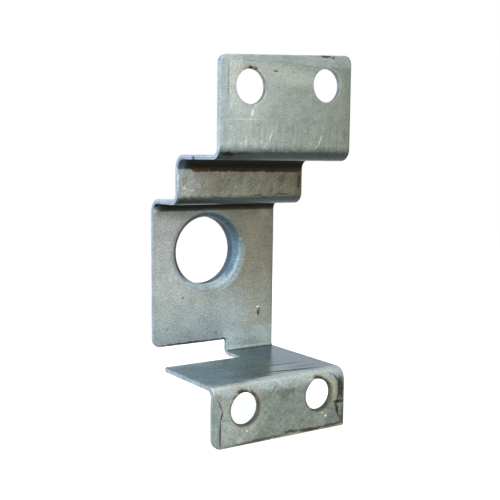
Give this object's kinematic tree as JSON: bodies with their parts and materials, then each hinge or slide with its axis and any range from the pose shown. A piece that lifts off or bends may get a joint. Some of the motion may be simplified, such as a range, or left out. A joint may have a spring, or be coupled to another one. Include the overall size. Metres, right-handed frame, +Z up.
{
  "type": "boot lock bracket",
  "caption": "Folded sheet steel bracket that holds a vehicle boot lock: two screw flanges and a stepped recess between them, with a drawn lock hole in its plate.",
  "frame": {"origin": "on the front face of the upper flange, midway between its two screw holes", "axes": "+Z up along the plate and both flanges, +Y back into the recess that the sheet folds round, +X across the strip to the right as seen from the front"},
  "size_m": [0.0391, 0.0377, 0.093],
  "materials": {
    "zinc_plated_steel": "dull passivated zinc plate on pressed sheet, worn and lightly stained"
  },
  "bodies": {
    "root": {"boot_lock_bracket": "zinc_plated_steel"}
  },
  "joints": []
}
